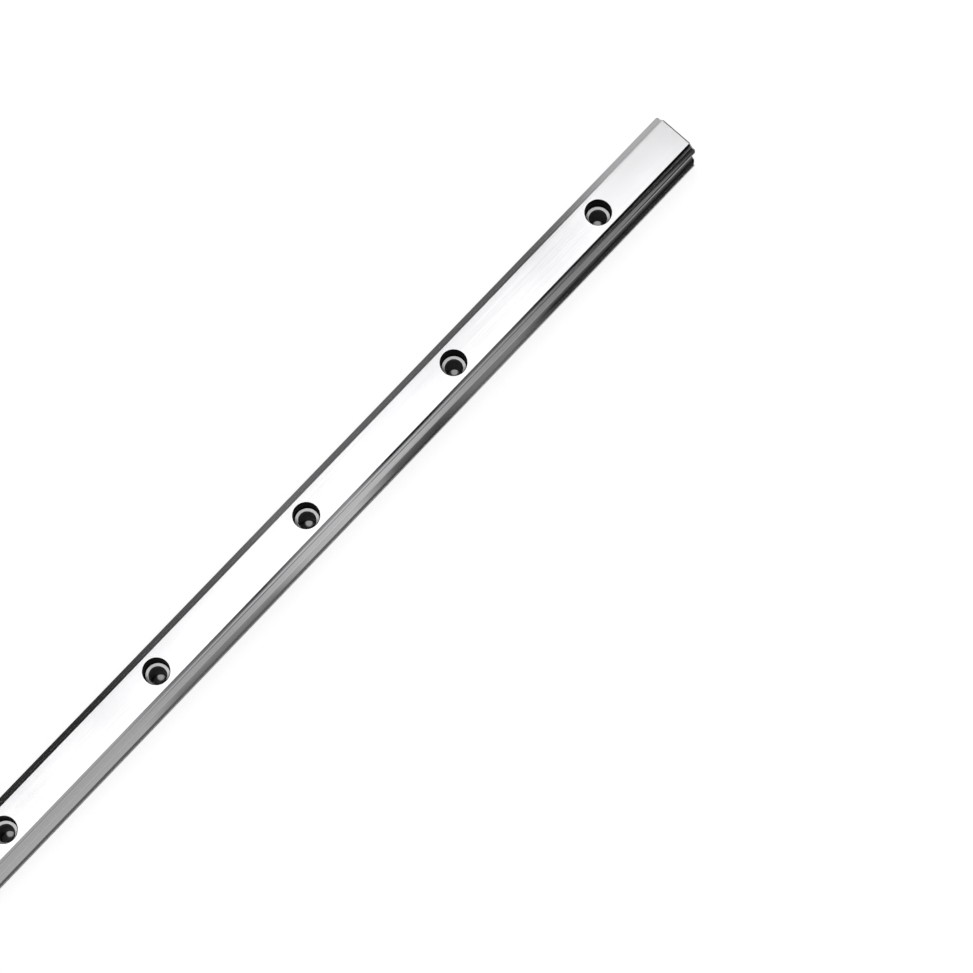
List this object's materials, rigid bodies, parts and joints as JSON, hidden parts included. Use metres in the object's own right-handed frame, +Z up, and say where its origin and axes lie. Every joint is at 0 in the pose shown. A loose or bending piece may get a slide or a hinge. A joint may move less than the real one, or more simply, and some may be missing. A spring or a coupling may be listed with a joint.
{
  "type": "linear guide rail",
  "caption": "Steel profile rail with ground ball raceways along both sides and a row of counterbored screw holes, for a sliding carriage.",
  "frame": {"origin": "middle of the underside, halfway along the rail", "axes": "+X along the rail towards the end whose first hole lies further in, +Z up out of the counterbores, Y across the rail"},
  "size_m": [0.3, 0.015, 0.015],
  "materials": {
    "ground_steel": "hardened and ground bearing steel, bright, fine grinding lines along the rail"
  },
  "bodies": {
    "root": {"guide_rail": "ground_steel"}
  },
  "joints": []
}
